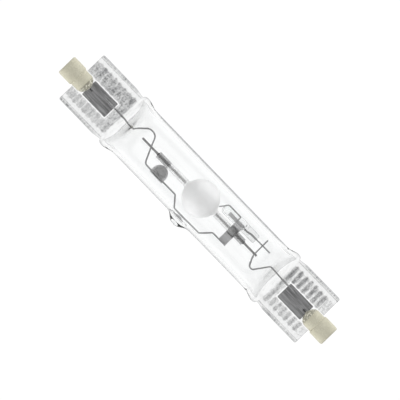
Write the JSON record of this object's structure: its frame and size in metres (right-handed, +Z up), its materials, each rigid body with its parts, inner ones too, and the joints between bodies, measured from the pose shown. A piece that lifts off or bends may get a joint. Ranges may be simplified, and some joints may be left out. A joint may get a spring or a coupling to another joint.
{
  "type": "double-ended metal halide lamp",
  "caption": "Double-ended discharge lamp: clear quartz bulb with flat pressed seals, ceramic burner, bent support wires, getter and starting capsule inside, and recessed-contact ceramic caps.",
  "frame": {"origin": "below the middle of the caps' common axis, on the surface that the bulb lies on", "axes": "+X along the lamp towards the right cap, +Z up through the flat seals' faces, and the exhaust tip points to -Y"},
  "size_m": [0.1354, 0.0249, 0.0215],
  "materials": {
    "quartz": "clear fused quartz",
    "cap_ceramic": "ivory, dull, fine-grained",
    "cement": "granular cement",
    "contact_metal": "plain metal contact",
    "molybdenum": "drawn wire",
    "foil": "thin grey foil",
    "burner_ceramic": "translucent white alumina",
    "niobium": "dull grey metal",
    "frit": "dark glass frit",
    "tungsten": "dark metal",
    "halide": "pale solid salt",
    "getter_steel": "thin rolled sheet",
    "getter_alloy": "pressed dull metal"
  },
  "bodies": {
    "root": {"outer_bulb": "quartz", "left_cap": "cap_ceramic", "right_cap": "cap_ceramic", "left_cement": "cement", "right_cement": "cement", "left_contact": "contact_metal", "right_contact": "contact_metal", "left_outer_lead": "molybdenum", "right_outer_lead": "molybdenum", "left_foil": "foil", "right_foil": "foil", "arc_tube": "burner_ceramic", "left_niobium_pin": "niobium", "right_niobium_pin": "niobium", "left_frit_seal": "frit", "right_frit_seal": "frit", "left_electrode": "tungsten", "right_electrode": "tungsten", "halide_dose": "halide", "frame_wire": "molybdenum", "right_lead_wire": "molybdenum", "getter_holder": "getter_steel", "getter_disc": "getter_alloy", "coupling_strap": "foil", "uv_capsule": "quartz", "uv_foil": "foil", "uv_lead": "molybdenum", "starting_wire": "molybdenum"}
  },
  "joints": []
}
